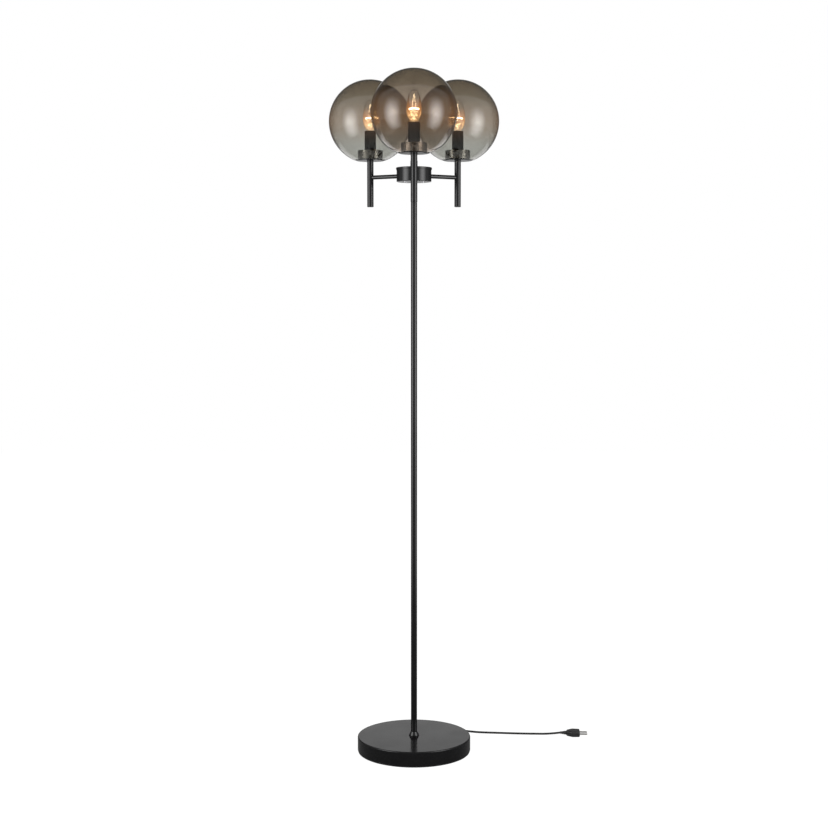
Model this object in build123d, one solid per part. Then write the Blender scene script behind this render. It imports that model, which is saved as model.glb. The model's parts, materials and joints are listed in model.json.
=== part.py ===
from build123d import *
import math
import os

os.makedirs("parts", exist_ok=True)

# Globe floor lamp: a round weighted foot, a thin pole, a drum-shaped hub and three arms, each
# with an upright stem, a candle bulb and a glass globe that stands on a small disc.
# The origin is the middle of the underside of the foot. +Z is up, and the front arm points to -Y.

# ---- driving sizes, in millimetres ----

# foot
base_radius = 138.0
base_height = 37.5
cover_wall = 1.6
cover_top_rounding = 2.5
cover_foot_rounding = 1.6
cover_lip = 4.0
pad_radius = 136.8
pad_thickness = 2.5
plate_thickness = 1.5
weight_radius = 128.0
weight_thickness = 17.0
boss_radius = 24.0
nut_recess_radius = 16.0
nut_recess_depth = 10.0
cable_channel = 9.0

# pole and its foot collar
pole_radius = 7.5
tube_wall = 1.2
collar_radius = 12.2
collar_height = 10.0
collar_step = 2.0
coupler_length = 44.0
bush_length = 28.0

# lamp thread, used for the rods, nipples and lock nuts
thread_radius = 5.0
wire_bore_radius = 3.3
nut_width = 14.0
nut_thickness = 3.0
base_nut_width = 17.0
base_nut_thickness = 6.0

# hub
hub_bottom = 1384.0
hub_top = 1417.7
hub_radius = 41.5
hub_wall = 1.5
hub_floor = 2.0
lid_radius = 42.8
lid_thickness = 1.4
lid_skirt = 5.0
hub_screw_offset = 20.5
hub_screw_radius = 2.0
hub_screw_head_radius = 3.6
hub_screw_head_height = 1.9
finial_radius = 8.6
finial_height = 17.3

# arms and stems
arm_angles = {"front": -90.0, "right": 30.0, "left": 150.0}
arm_reach = 122.2
arm_height = 1398.9
arm_radius = 5.0
arm_inner_end = 31.0
stem_radius = 7.75
stem_bottom = 1331.0
stem_cap_height = 3.0
stem_plug_length = 7.0
stem_bush_length = 15.0

# globe supports
disc_radius = 34.0
disc_thickness = 1.5
disc_top = 1440.8
cup_radius = 30.0
cup_height = 23.2
cup_wall = 1.2
cup_rounding = 4.5

# globes
globe_radius = 100.0
globe_wall = 2.5
globe_drop = 92.0
seat_gap = 0.3

# candle bulbs and their holders
holder_radius = 13.7
holder_top = 1510.2
holder_mouth_radius = 10.8
holder_floor = 1472.0
nipple_top = 1456.8
bulb_radius = 17.5
bulb_tip = 1585.0
bulb_wall = 0.8
cap_radius = 6.9
cap_bottom = 1484.0
cap_top = 1506.0
filament_height = 1540.0
filament_span = 6.5

# mains cord, foot switch and plug
cord_radius = 2.5
floor_level = cord_radius + 0.05
exit_angle = 135.0
exit_height = 10.5
grommet_length = 22.0
coil_centre = (28.0, 178.0)
coil_outer_radius = 35.0
coil_inner_radius = 15.0
coil_bottom = 0.5
coil_layers = 2
switch_centre = (-57.0, 168.0)
switch_length = 62.0
switch_width = 27.0
switch_split = 9.0
switch_height = 16.5
switch_wall = 1.8
switch_cord_height = 4.6
button_radius = 9.2
button_top = 20.0
plug_start = (372.0, 124.5)
plug_angle = -3.9
plug_width = 35.3
plug_thickness = 13.8
plug_length = 34.0
plug_tail = 15.0
pin_radius = 2.0
pin_length = 19.0
pin_spacing = 18.6

# ---- sizes that follow from them ----

globe_centre = disc_top + seat_gap + globe_drop
bush_radius = pole_radius - tube_wall
stem_bush_radius = stem_radius - tube_wall
weight_bottom = pad_thickness + plate_thickness
cover_ceiling = base_height - cover_wall
pole_bottom = base_height + collar_height
pole_section = (hub_bottom - pole_bottom) / 3


# ---- ways of making a piece ----

def turned(points, rounding=None):
    """Turns a closed outline of (radius, height) points about the Z axis.

    rounding maps the number of an outline point to the radius that rounds it off."""
    outline = make_face(Polyline(*points, close=True))
    for number, radius in (rounding or {}).items():
        corner = outline.vertices().sort_by_distance((*points[number], 0))[0]
        outline = fillet(corner, radius)
    return revolve(Plane.XZ * outline, Axis.Z)


def tube(outer, inner, low, high):
    """A straight tube or a washer that stands on the Z axis between two heights."""
    return turned([(inner, low), (outer, low), (outer, high), (inner, high)])


def rod(radius, low, high):
    """A round bar that stands on the Z axis between two heights."""
    return Pos(0, 0, low) * Cylinder(radius, high - low, align=(Align.CENTER, Align.CENTER, Align.MIN))


def hex_nut(width, thickness, low, bore=thread_radius):
    """A hexagonal nut on the Z axis, width across its flats, with its underside at low."""
    blank = extrude(RegularPolygon(width / math.sqrt(3), 6), thickness)
    return Pos(0, 0, low) * (blank - rod(bore, -1, thickness + 1))


def on_arm(name, piece):
    """Moves a piece from the pole's axis to the axis of one arm's stem."""
    return Rot(0, 0, arm_angles[name]) * Pos(arm_reach, 0, 0) * piece


def along_arm(name, piece, distance):
    """Lays a piece that stands on Z down along an arm, its foot at a distance from the pole."""
    return Rot(0, 0, arm_angles[name]) * Pos(distance, 0, arm_height) * Rot(0, 90, 0) * piece


def for_each_arm(piece):
    """Repeats a piece at the three stems, as one group of separate solids."""
    return Compound([on_arm(name, piece).solid() for name in arm_angles])


def save(name, shape):
    """Writes one piece of the lamp under its own name."""
    shape.label = name
    export_step(shape, f"parts/{name}.step")


# ---- foot ----

def make_base_pad():
    """The soft sheet under the foot, which covers the nut recess."""
    points = [(0, 0), (pad_radius, 0), (pad_radius, pad_thickness), (0, pad_thickness)]
    return turned(points, {1: 0.6})


def make_base_plate():
    """The steel sheet that closes the cover from below."""
    plate_radius = base_radius - cover_lip - 0.2
    return tube(plate_radius, nut_recess_radius, pad_thickness, weight_bottom)


def make_base_cover():
    """A pressed steel cover: flat top, straight side and a lip curled in under its foot."""
    inside = base_radius - cover_wall
    points = [
        (thread_radius, base_height),
        (base_radius, base_height),
        (base_radius, pad_thickness),
        (base_radius - cover_lip, pad_thickness),
        (base_radius - cover_lip, pad_thickness + cover_wall),
        (inside, pad_thickness + cover_wall),
        (inside, cover_ceiling),
        (thread_radius, cover_ceiling),
    ]
    rounding = {
        1: cover_top_rounding,
        2: cover_foot_rounding,
        5: 0.4,
        6: cover_top_rounding - cover_wall + 0.4,
    }
    cover = turned(points, rounding)
    return cover - at_exit(rod(4.2, -8, 8), 0)


def make_base_weight():
    """A cast iron ring with a raised boss that carries the cover and the pole, and with a
    channel across its underside for the cable."""
    low = weight_bottom
    points = [
        (thread_radius, low + nut_recess_depth),
        (nut_recess_radius, low + nut_recess_depth),
        (nut_recess_radius, low),
        (weight_radius, low),
        (weight_radius, low + weight_thickness),
        (boss_radius + 8, low + weight_thickness),
        (boss_radius, cover_ceiling),
        (thread_radius, cover_ceiling),
    ]
    run = Box(weight_radius, cable_channel, 2 * cable_channel, align=(Align.MIN, Align.CENTER, Align.CENTER))
    channel = Rot(0, 0, exit_angle) * Pos(nut_recess_radius - 2, 0, low) * run
    return turned(points, {4: 3.0}) - channel


def make_base_locknuts():
    """The washer and nut that clamp the foot to the threaded rod."""
    ceiling = weight_bottom + nut_recess_depth
    washer = tube(12.5, thread_radius, ceiling - 1.6, ceiling)
    nut = hex_nut(base_nut_width, base_nut_thickness, ceiling - 1.6 - base_nut_thickness)
    return Compound([washer.solid(), nut.solid()])


def make_base_rod():
    """The hollow threaded rod from the foot up into the pole."""
    return tube(thread_radius, wire_bore_radius, weight_bottom + 2, pole_bottom + bush_length - 4)


# ---- pole ----

def make_pole_collar():
    """The cone that spreads the pole's foot on the cover."""
    points = [
        (thread_radius, base_height),
        (collar_radius, base_height),
        (collar_radius, base_height + collar_step),
        (pole_radius + 0.6, pole_bottom),
        (thread_radius, pole_bottom),
    ]
    return turned(points, {2: 0.8, 3: 0.4})


def make_pole_section(number):
    """One of the three equal lengths of pole tube, counted from the foot."""
    low = pole_bottom + number * pole_section
    section = tube(pole_radius, bush_radius, low, low + pole_section)
    ends = section.edges().filter_by(GeomType.CIRCLE).filter_by(lambda e: e.radius > bush_radius + 0.1)
    return chamfer(ends, 0.25)


def make_pole_couplers():
    """The threaded bush at each end of the pole, and the two couplers between its lengths."""
    joints = [pole_bottom + pole_section, pole_bottom + 2 * pole_section]
    half = coupler_length / 2
    pieces = [tube(bush_radius, wire_bore_radius, z - half, z + half) for z in joints]
    pieces.append(tube(bush_radius, thread_radius, pole_bottom, pole_bottom + bush_length))
    pieces.append(tube(bush_radius, thread_radius, hub_bottom - bush_length, hub_bottom))
    return Compound([piece.solid() for piece in pieces])


# ---- hub ----

def make_hub_body():
    """The drum: a floor and a side wall, with holes for the pole, the screws and the arms."""
    wall_top = hub_top - lid_thickness
    points = [
        (thread_radius, hub_bottom),
        (hub_radius, hub_bottom),
        (hub_radius, wall_top),
        (hub_radius - hub_wall, wall_top),
        (hub_radius - hub_wall, hub_bottom + hub_floor),
        (thread_radius, hub_bottom + hub_floor),
    ]
    body = turned(points, {1: 1.4, 4: 0.6})
    for name in arm_angles:
        body -= along_arm(name, rod(arm_radius, 0, 12), hub_radius - 6)
    for side in (-1, 1):
        body -= Pos(side * hub_screw_offset, 0, hub_bottom) * rod(hub_screw_radius, -1, hub_floor + 1)
    return body


def make_hub_lid():
    """The drum's cap, whose short skirt stands just proud of the side wall."""
    under = hub_top - lid_thickness
    points = [
        (4.0, hub_top),
        (lid_radius, hub_top),
        (lid_radius, hub_top - lid_skirt),
        (hub_radius, hub_top - lid_skirt),
        (hub_radius, under),
        (4.0, under),
    ]
    return turned(points, {1: 1.1, 2: 0.4})


def make_hub_finial():
    """The plain round cap nut that holds the lid down."""
    top = hub_top + finial_height
    bore_top = hub_top + 11
    points = [
        (4.0, hub_top),
        (finial_radius, hub_top),
        (finial_radius, top),
        (0, top),
        (0, bore_top),
        (4.0, bore_top),
    ]
    return turned(points, {1: 0.5, 2: 1.6})


def make_hub_bridge():
    """The bent strap inside the drum: two feet on its floor, two legs and a welded lid stud."""
    strap = 2.0
    foot = hub_bottom + hub_floor
    bar = foot + 22.0
    leg = 29.0
    toe = 13.0
    half = [
        (0, bar), (leg, bar), (leg, foot), (toe, foot), (toe, foot + strap),
        (leg - strap, foot + strap), (leg - strap, bar - strap), (0, bar - strap),
    ]
    outline = make_face(Polyline(*half, close=True))
    side = extrude(Plane.XZ * outline, 6, both=True)
    bridge = side + mirror(side, Plane.YZ) + rod(4.0, bar, hub_top + 9)
    for sign in (-1, 1):
        bridge -= Pos(sign * hub_screw_offset, 0, foot) * rod(hub_screw_radius, -1, strap + 1)
    return bridge


def make_hub_screws():
    """The two pan-head screws under the drum."""
    head = turned(
        [(0, -hub_screw_head_height), (hub_screw_head_radius, -hub_screw_head_height),
         (hub_screw_head_radius, 0), (hub_screw_radius, 0), (hub_screw_radius, 7), (0, 7)],
        {1: 1.2},
    )
    slot = Pos(0, 0, -hub_screw_head_height) * Box(2 * hub_screw_head_radius, 0.8, 1.4)
    screw = head - slot
    return Compound([
        (Pos(side * hub_screw_offset, 0, hub_bottom) * screw).solid() for side in (-1, 1)
    ])


def make_hub_nipple():
    """The hollow threaded nipple that joins the drum to the pole."""
    return tube(thread_radius, wire_bore_radius, hub_bottom - bush_length + 4, hub_bottom + 9)


def make_hub_locknuts():
    """The washer and nut that clamp the drum's floor on the nipple."""
    floor = hub_bottom + hub_floor
    washer = tube(9.5, thread_radius, floor, floor + 1.0)
    return Compound([washer.solid(), hex_nut(nut_width, nut_thickness, floor + 1.0).solid()])


def make_terminal_block():
    """A three-way terminal block, with wire bores along Y and screw wells from above."""
    width, depth, height, pitch = 26.0, 13.0, 12.0, 8.0
    low = hub_bottom + hub_floor
    block = Pos(0, 21, low + height / 2) * Box(width, depth, height)
    block = fillet(block.edges().filter_by(Axis.Z), 1.0)
    for way in (-1, 0, 1):
        bore = Pos(way * pitch, 21, low + 5.0) * Rot(90, 0, 0) * Cylinder(1.7, depth + 2)
        block -= bore
        for end in (-3.5, 3.5):
            block -= Pos(way * pitch, 21 + end, low + 6.0) * rod(1.6, 0, height)
    return block


# ---- arms and stems ----

def make_arm_tube(name):
    """The level tube from the drum to the side of a stem."""
    stem_face = arm_reach - stem_radius + tube_wall
    length = stem_face - arm_inner_end
    return along_arm(name, tube(arm_radius, arm_radius - tube_wall, 0, length), arm_inner_end)


def make_arm_locknuts():
    """The nuts that hold the arm tubes inside the drum's wall."""
    nut = hex_nut(nut_width, nut_thickness, 0)
    corner = nut_width / math.sqrt(3)
    distance = math.sqrt((hub_radius - hub_wall) ** 2 - corner ** 2) - nut_thickness
    return Compound([along_arm(name, nut, distance).solid() for name in arm_angles])


def make_stem(name):
    """The upright tube on the end of an arm, with a hole in its side for the arm tube."""
    stem = tube(stem_radius, stem_bush_radius, stem_bottom, disc_top - disc_thickness)
    return on_arm(name, stem) - along_arm(name, rod(arm_radius, 0, stem_radius), arm_reach - stem_radius - 1)


def make_stem_cap():
    """The plug that closes the bottom of a stem."""
    low = stem_bottom - stem_cap_height
    points = [
        (0, low), (stem_radius, low), (stem_radius, stem_bottom), (stem_bush_radius, stem_bottom),
        (stem_bush_radius, stem_bottom + stem_plug_length), (0, stem_bottom + stem_plug_length),
    ]
    return turned(points, {1: 1.2, 4: 0.6})


def make_stem_bush():
    """The threaded bush in the top of a stem."""
    top = disc_top - disc_thickness
    return tube(stem_bush_radius, thread_radius, top - stem_bush_length, top)


# ---- globe supports ----

def make_support_disc():
    """The flat disc that carries a globe."""
    low = disc_top - disc_thickness
    points = [(thread_radius, low), (disc_radius, low), (disc_radius, disc_top), (thread_radius, disc_top)]
    return turned(points, {1: 0.5, 2: 0.4})


def make_gallery_cup():
    """The open cup inside a globe's mouth, which keeps the globe in the middle."""
    top = disc_top + cup_height
    points = [
        (thread_radius, disc_top),
        (cup_radius, disc_top),
        (cup_radius, top),
        (cup_radius - cup_wall, top),
        (cup_radius - cup_wall, disc_top + cup_wall),
        (thread_radius, disc_top + cup_wall),
    ]
    return turned(points, {1: cup_rounding, 4: cup_rounding - cup_wall})


def make_gallery_nut():
    """The nut that clamps a cup and disc on a stem."""
    return hex_nut(nut_width, nut_thickness, disc_top + cup_wall)


def make_holder_nipple():
    """The hollow threaded nipple through a stem's bush, disc and cup into the lampholder."""
    return tube(thread_radius, wire_bore_radius, disc_top - disc_thickness - stem_bush_length, nipple_top)


# ---- lampholders and bulbs ----

def make_lampholder():
    """A small screw lampholder: a threaded socket below, a rounded shoulder and an open mouth."""
    low = disc_top + cup_wall + nut_thickness
    points = [
        (thread_radius, low),
        (holder_radius - 3.2, low),
        (holder_radius, low + 6),
        (holder_radius, holder_top),
        (holder_mouth_radius, holder_top),
        (holder_mouth_radius, holder_floor),
        (0, holder_floor),
        (0, nipple_top),
        (thread_radius, nipple_top),
    ]
    return turned(points, {1: 1.2, 2: 3.0, 3: 0.8})


def make_lamp_contacts(name):
    """The threaded metal shell and the middle contact inside a lampholder."""
    shell = tube(7.7, 7.2, holder_floor, cap_top - 4)
    contact = rod(2.5, holder_floor, cap_bottom)
    return [on_arm(name, piece).solid() for piece in (shell, contact)]


def make_bulb_cap():
    """A bulb's screw cap: contact button, insulating cone and a barrel with rounded ridges."""
    ridge_pitch = 2.8
    ridge_height = 0.45
    steps = 30
    barrel_low = cap_bottom + 4.5
    barrel_high = cap_top - 2.0
    points = [(0, cap_bottom), (2.4, cap_bottom), (2.4, cap_bottom + 1.2), (5.6, barrel_low - 0.8)]
    for step in range(steps + 1):
        z = barrel_low + (barrel_high - barrel_low) * step / steps
        wave = math.cos(2 * math.pi * (z - barrel_low) / ridge_pitch)
        points.append((cap_radius - ridge_height * (1 - wave) / 2, z))
    points += [(cap_radius, cap_top), (6.3, cap_top), (6.3, cap_top - 5), (0, cap_top - 5)]
    return turned(points)


def bulb_outline(inset):
    """The candle shape as (radius, height) points, drawn in by the thickness of the glass."""
    neck = cap_top - 5
    shape = [
        (0.36, 6.0), (0.47, 11.0), (0.74, 19.0), (0.95, 28.5), (1.0, 38.0),
        (0.985, 46.0), (0.93, 56.0), (0.82, 66.0), (0.64, 74.5), (0.36, 81.5),
    ]
    points = [(share * bulb_radius - inset, neck + rise) for share, rise in shape]
    return [*points, (0, bulb_tip - 1.5 * inset)]


def make_bulb_glass():
    """The blown candle envelope, open at the neck that is cemented into the cap."""
    neck = cap_top - 5
    outer = bulb_outline(0)
    inner = bulb_outline(bulb_wall)
    up = (0, 1)
    flat = (-1, 0)
    outer_curve = Spline(*outer, tangents=[up, flat])
    inner_curve = Spline(*inner, tangents=[up, flat])
    neck_outer = Line((outer[0][0], neck), outer[0])
    neck_inner = Line((inner[0][0], neck), inner[0])
    foot = Line((inner[0][0], neck), (outer[0][0], neck))
    tip = Line(inner[-1], outer[-1])
    outline = make_face([*outer_curve.edges(), *inner_curve.edges(), neck_outer.edge(),
                         neck_inner.edge(), foot.edge(), tip.edge()])
    return revolve(Plane.XZ * outline, Axis.Z)


def make_filament(name):
    """The glass mount in a bulb, its two support wires and the filament arched between them."""
    neck = cap_top - 5
    mount = turned([(0, neck), (4.8, neck), (4.8, neck + 2), (2.2, neck + 8), (2.2, neck + 22), (0, neck + 22)],
                   {3: 3.0, 4: 1.0})
    pieces = [mount]
    for side in (-1, 1):
        foot = (side * 1.2, 0, neck + 20)
        knee = (side * 2.0, 0, neck + 25)
        top = (side * filament_span, 0, filament_height)
        path = FilletPolyline(foot, knee, top, radius=3.0)
        pieces.append(sweep(Plane(origin=foot, z_dir=path % 0) * Circle(0.25), path=path))
    arch = ThreePointArc((-filament_span, 0, filament_height), (0, 0, filament_height + 4),
                         (filament_span, 0, filament_height))
    pieces.append(sweep(Plane(origin=arch @ 0, z_dir=arch % 0) * Circle(0.6), path=arch))
    lamp = pieces[0]
    for piece in pieces[1:]:
        lamp += piece
    return on_arm(name, lamp)


# ---- globes ----

def make_globe(name):
    """A blown glass globe, open at the bottom where it stands on its disc."""
    shell = Sphere(globe_radius) - Sphere(globe_radius - globe_wall)
    below = Pos(0, 0, -globe_drop) * Box(
        3 * globe_radius, 3 * globe_radius, globe_radius, align=(Align.CENTER, Align.CENTER, Align.MAX))
    return on_arm(name, Pos(0, 0, globe_centre) * (shell - below))


# ---- mains cord ----

def at_exit(piece, distance):
    """Lays a piece that stands on Z along the cord's way out of the foot, outside its side wall."""
    return Rot(0, 0, exit_angle) * Pos(base_radius + distance, 0, exit_height) * Rot(0, 90, 0) * piece


def at_exit_point(distance, height):
    """A point outside the foot on the cord's way out."""
    angle = math.radians(exit_angle)
    reach = base_radius + distance
    return (reach * math.cos(angle), reach * math.sin(angle), height)


def make_cord_grommet():
    """The strain relief moulded on the cord: a collar in the wall, a flange and a ringed taper."""
    points = [
        (0, -5), (5.2, -5), (5.2, -cover_wall - 0.2), (4.2, -cover_wall - 0.2), (4.2, 0),
        (6.0, 0), (6.0, 2), (4.6, 2.6),
    ]
    rings = 4
    taper_start = 4.6
    taper_end = 3.3
    for ring in range(rings):
        share = ring / rings
        radius = taper_start + (taper_end - taper_start) * share
        low = 4.0 + ring * 4.0
        points += [(radius, low), (radius - 0.9, low + 0.5), (radius - 0.9, low + 1.3), (radius - 0.1, low + 1.8)]
    points += [(taper_end, grommet_length), (0, grommet_length)]
    return at_exit(turned(points), 0)


def cord_tube(name, route):
    """A round cord along straight runs, with an arc at each point between them.

    Each arc takes 0.45 of the shorter of its two runs, so its radius is that length
    divided by the tangent of half the turn."""
    places = [Vector(*point) for point in route]
    radii = []
    for before, corner, after in zip(places, places[1:], places[2:]):
        turn = math.radians((corner - before).get_angle(after - corner))
        shorter = min((corner - before).length, (after - corner).length)
        radii.append(0.45 * shorter / math.tan(turn / 2))
    path = FilletPolyline(*places, radius=radii)
    cord = sweep(Plane(origin=path @ 0, z_dir=path % 0) * Circle(cord_radius), path=path)
    drawn = math.pi * cord_radius ** 2 * path.length
    smallest = min(radii)
    print(f"{name}: length {path.length:.1f}, volume {cord.volume / drawn:.4f} of its section times length,")
    print(f"  smallest radius {smallest:.1f}, radii {[round(radius) for radius in radii]}")
    return cord


cord_lead_route = [
    at_exit_point(grommet_length, exit_height),
    at_exit_point(grommet_length + 23, 8.0),
    (-128.6, 153.4, 5.0),
    (-111.6, 168.4, 3.2),
    (-88.0, 168.0, switch_cord_height),
]

cord_feed_route = [
    (-26.0, 168.0, switch_cord_height),
    (-5.0, 163.6, 3.0),
    (10.2, 151.8, coil_bottom + cord_radius),
]

cord_run_route = [
    (34.0, 146.0, coil_bottom + 3 * cord_radius),
    (62.0, 152.0, 5.2),
    (90.0, 160.5, floor_level),
    (117.0, 160.0, floor_level),
    (141.0, 149.6, floor_level),
    (168.0, 141.0, floor_level),
    (214.0, 136.6, floor_level),
    (262.0, 131.2, floor_level),
    (306.0, 128.8, floor_level),
    (344.0, 126.0, floor_level + 0.6),
    (*plug_start, plug_thickness / 2),
]


def make_cord_coil():
    """The outer shape of the spare cord, wound flat in two layers of turns."""
    low = coil_bottom
    high = coil_bottom + coil_layers * 2 * cord_radius
    ring = turned(
        [(coil_inner_radius, low), (coil_outer_radius, low), (coil_outer_radius, high), (coil_inner_radius, high)],
        {0: 2.0, 1: 2.0, 2: 2.0, 3: 2.0},
    )
    return Pos(*coil_centre, 0) * ring


def make_cord_tie():
    """The flat strap round the back of the coil."""
    strap = 0.5
    width = coil_outer_radius - coil_inner_radius
    height = coil_layers * 2 * cord_radius
    middle = (coil_outer_radius + coil_inner_radius) / 2
    outer = Box(10, width + 2 * strap, height + 2 * strap)
    inner = Box(12, width, height)
    place = Pos(coil_centre[0], coil_centre[1] + middle, coil_bottom + height / 2)
    return place * (outer - inner)


# ---- foot switch ----

def switch_outline(inset):
    """The switch seen from above: a rounded slab that narrows to the cord at both ends."""
    half_length = switch_length / 2 - inset
    half_width = switch_width / 2 - inset
    end_width = 7.0 - inset
    points = [
        (-half_length, -end_width), (-half_length + 15, -half_width), (half_length - 15, -half_width),
        (half_length, -end_width), (half_length, end_width), (half_length - 15, half_width),
        (-half_length + 15, half_width), (-half_length, end_width),
    ]
    outline = make_face(Polyline(*points, close=True))
    sides = [v for v in outline.vertices() if abs(v.Y) > half_width - 0.1]
    outline = fillet(sides, 14.0 - inset)
    ends = [v for v in outline.vertices() if abs(v.X) > half_length - 0.1]
    return fillet(ends, 3.0 - 0.5 * inset)


def switch_cord_holes():
    """The two holes for the cord, one in each end of the switch."""
    return Pos(0, 0, switch_cord_height) * Rot(0, 90, 0) * Cylinder(cord_radius, switch_length + 4)


def make_switch_housing():
    """The lower half of the foot switch, an open tray."""
    tray = extrude(switch_outline(0), switch_split)
    tray = fillet(tray.faces().sort_by(Axis.Z)[0].edges(), 1.2)
    tray -= Pos(0, 0, switch_wall) * extrude(switch_outline(switch_wall), switch_split)
    return Pos(*switch_centre, 0) * (tray - switch_cord_holes())


def make_switch_cover():
    """The upper half, with a round opening and a low collar for the button."""
    cover = extrude(switch_outline(0), switch_height - switch_split)
    cover = fillet(cover.faces().sort_by(Axis.Z)[-1].edges(), 3.0)
    cover += rod(button_radius + 2.6, 0, switch_height - switch_split + 0.8)
    hollow = extrude(switch_outline(switch_wall), switch_height - switch_split - switch_wall)
    cover -= hollow
    cover -= rod(button_radius + 0.3, -1, switch_height)
    return Pos(*switch_centre, switch_split) * cover


def make_switch_block():
    """The latching switch inside the housing."""
    block = Pos(0, 0, switch_wall) * Box(24, 16, 5.0, align=(Align.CENTER, Align.CENTER, Align.MIN))
    block = fillet(block.edges().filter_by(Axis.Z), 1.5)
    return Pos(*switch_centre, 0) * block


def make_switch_button():
    """The round foot button, domed on top, with a flange that keeps it under the cover."""
    flange = button_radius + 1.4
    flange_top = switch_height - switch_wall - seat_gap
    low = switch_split + 2
    points = [
        (0, low), (flange, low), (flange, flange_top),
        (button_radius, flange_top), (button_radius, button_top), (0, button_top),
    ]
    return Pos(*switch_centre, 0) * turned(points, {4: 1.8})


# ---- plug ----

def at_plug(piece):
    """Moves a piece drawn along +X from the end of the cord to its place on the floor."""
    return Pos(*plug_start, plug_thickness / 2) * Rot(0, 0, plug_angle) * piece


def make_plug_body():
    """A flat moulded two-pin plug: ringed tail, shoulders that widen, and a flat front face."""
    back = plug_tail
    front = plug_tail + plug_length
    half = plug_width / 2
    outline = make_face(Polyline(
        (back, -6.5), (back + 14, -half), (front, -half + 1.6), (front, half - 1.6),
        (back + 14, half), (back, 6.5), close=True))
    outline = fillet([v for v in outline.vertices() if v.X < front - 1], 5.0)
    body = extrude(outline, plug_thickness / 2, both=True)
    body = fillet(body.faces().filter_by(Axis.Z).edges(), 2.6)
    tail_points = [(0, 0), (3.4, 0)]
    rings = 4
    for ring in range(rings):
        low = 1.6 + ring * 3.2
        radius = 3.5 + 0.45 * ring
        tail_points += [(radius, low), (radius - 0.7, low + 0.5), (radius - 0.7, low + 1.4), (radius, low + 1.9)]
    tail_points += [(5.4, back), (5.4, back + 4), (0, back + 4)]
    body += Rot(0, 90, 0) * turned(tail_points)
    for side in (-1, 1):
        pin_hole = Pos(front, side * pin_spacing / 2, 0) * Rot(0, 90, 0) * Cylinder(pin_radius, 16)
        body -= pin_hole
    return at_plug(body)


def make_plug_pins():
    """The two round pins, with rounded tips."""
    start = plug_tail + plug_length - 8
    length = pin_length + 8
    pin = turned([(0, 0), (pin_radius, 0), (pin_radius, length), (0, length)], {2: 1.4})
    return Compound([
        at_plug(Pos(start, side * pin_spacing / 2, 0) * Rot(0, 90, 0) * pin).solid() for side in (-1, 1)
    ])


# ---- the lamp ----

save("base_pad", make_base_pad())
save("base_plate", make_base_plate())
save("base_cover", make_base_cover())
save("base_weight", make_base_weight())
save("base_locknuts", make_base_locknuts())
save("base_rod", make_base_rod())

save("pole_collar", make_pole_collar())
for number, place in enumerate(("lower", "middle", "upper")):
    save(f"pole_{place}", make_pole_section(number))
save("pole_couplers", make_pole_couplers())

save("hub_body", make_hub_body())
save("hub_lid", make_hub_lid())
save("hub_finial", make_hub_finial())
save("hub_bridge", make_hub_bridge())
save("hub_screws", make_hub_screws())
save("hub_nipple", make_hub_nipple())
save("hub_locknuts", make_hub_locknuts())
save("terminal_block", make_terminal_block())

for name in arm_angles:
    save(f"arm_tube_{name}", make_arm_tube(name))
    save(f"stem_{name}", make_stem(name))
    save(f"support_disc_{name}", on_arm(name, make_support_disc()))
    save(f"gallery_cup_{name}", on_arm(name, make_gallery_cup()))
    save(f"lampholder_{name}", on_arm(name, make_lampholder()))
    save(f"bulb_glass_{name}", on_arm(name, make_bulb_glass()))
    save(f"globe_{name}", make_globe(name))

save("arm_locknuts", make_arm_locknuts())
save("stem_caps", for_each_arm(make_stem_cap()))
save("stem_bushes", for_each_arm(make_stem_bush()))
save("gallery_locknuts", for_each_arm(make_gallery_nut()))
save("holder_nipples", for_each_arm(make_holder_nipple()))
save("lamp_contacts", Compound([piece for name in arm_angles for piece in make_lamp_contacts(name)]))
save("bulb_caps", for_each_arm(make_bulb_cap()))
save("bulb_filaments", Compound([make_filament(name).solid() for name in arm_angles]))

save("cord_grommet", make_cord_grommet())
save("cord_lead", cord_tube("cord_lead", cord_lead_route))
save("cord_feed", cord_tube("cord_feed", cord_feed_route))
save("cord_coil", make_cord_coil())
save("cord_tie", make_cord_tie())
save("cord_run", cord_tube("cord_run", cord_run_route))
save("switch_housing", make_switch_housing())
save("switch_cover", make_switch_cover())
save("switch_block", make_switch_block())
save("switch_button", make_switch_button())
save("plug_body", make_plug_body())
save("plug_pins", make_plug_pins())
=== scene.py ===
# %% [markdown]
# # A floor lamp with three smoked glass globes
#
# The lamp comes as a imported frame: sixty named nodes at their real size, in metres. This lesson
# dresses it. Each piece that shows gets a smooth surface and a finish of its own, the cord
# becomes one soft curve, and the lamp is lit as in a white studio. A node whose shape is right is
# kept, and only gets a better finish.

# %% The frame
import json
import math
from functools import partialmethod

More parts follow.
